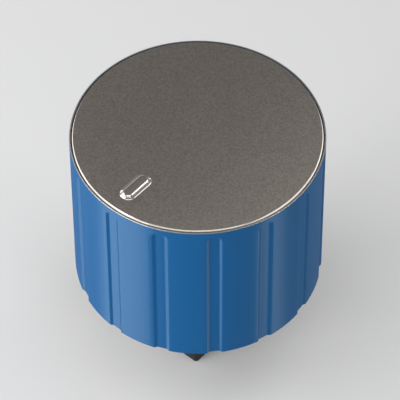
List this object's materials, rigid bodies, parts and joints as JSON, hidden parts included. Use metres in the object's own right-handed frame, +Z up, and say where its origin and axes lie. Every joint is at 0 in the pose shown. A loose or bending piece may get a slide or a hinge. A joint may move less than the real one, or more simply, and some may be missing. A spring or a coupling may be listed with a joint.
{
  "type": "stove control knob",
  "caption": "Round fluted control knob with an inset metal disc and raised pointer, on a black stem with a sprung D-shaped shaft hole.",
  "frame": {"origin": "centre of the stem's lower end, where the valve's shaft goes in", "axes": "+Z up along the shaft's axis towards the disc, -Y towards the pointer, +X to the right seen from the pointer's side"},
  "size_m": [0.04, 0.04, 0.0487],
  "materials": {
    "blue_metallic": "satin metallic",
    "satin_metal": "fine blasted satin with a polished bevel",
    "adhesive_film": "matte",
    "black_nylon": "matte moulded",
    "spring_steel": "bright rolled",
    "zinc_plate": "zinc plated"
  },
  "bodies": {
    "root": {"outer_shell": "blue_metallic", "top_cap": "satin_metal", "cap_adhesive": "adhesive_film", "stem_insert": "black_nylon", "shaft_spring": "spring_steel", "insert_screws": "zinc_plate"}
  },
  "joints": []
}
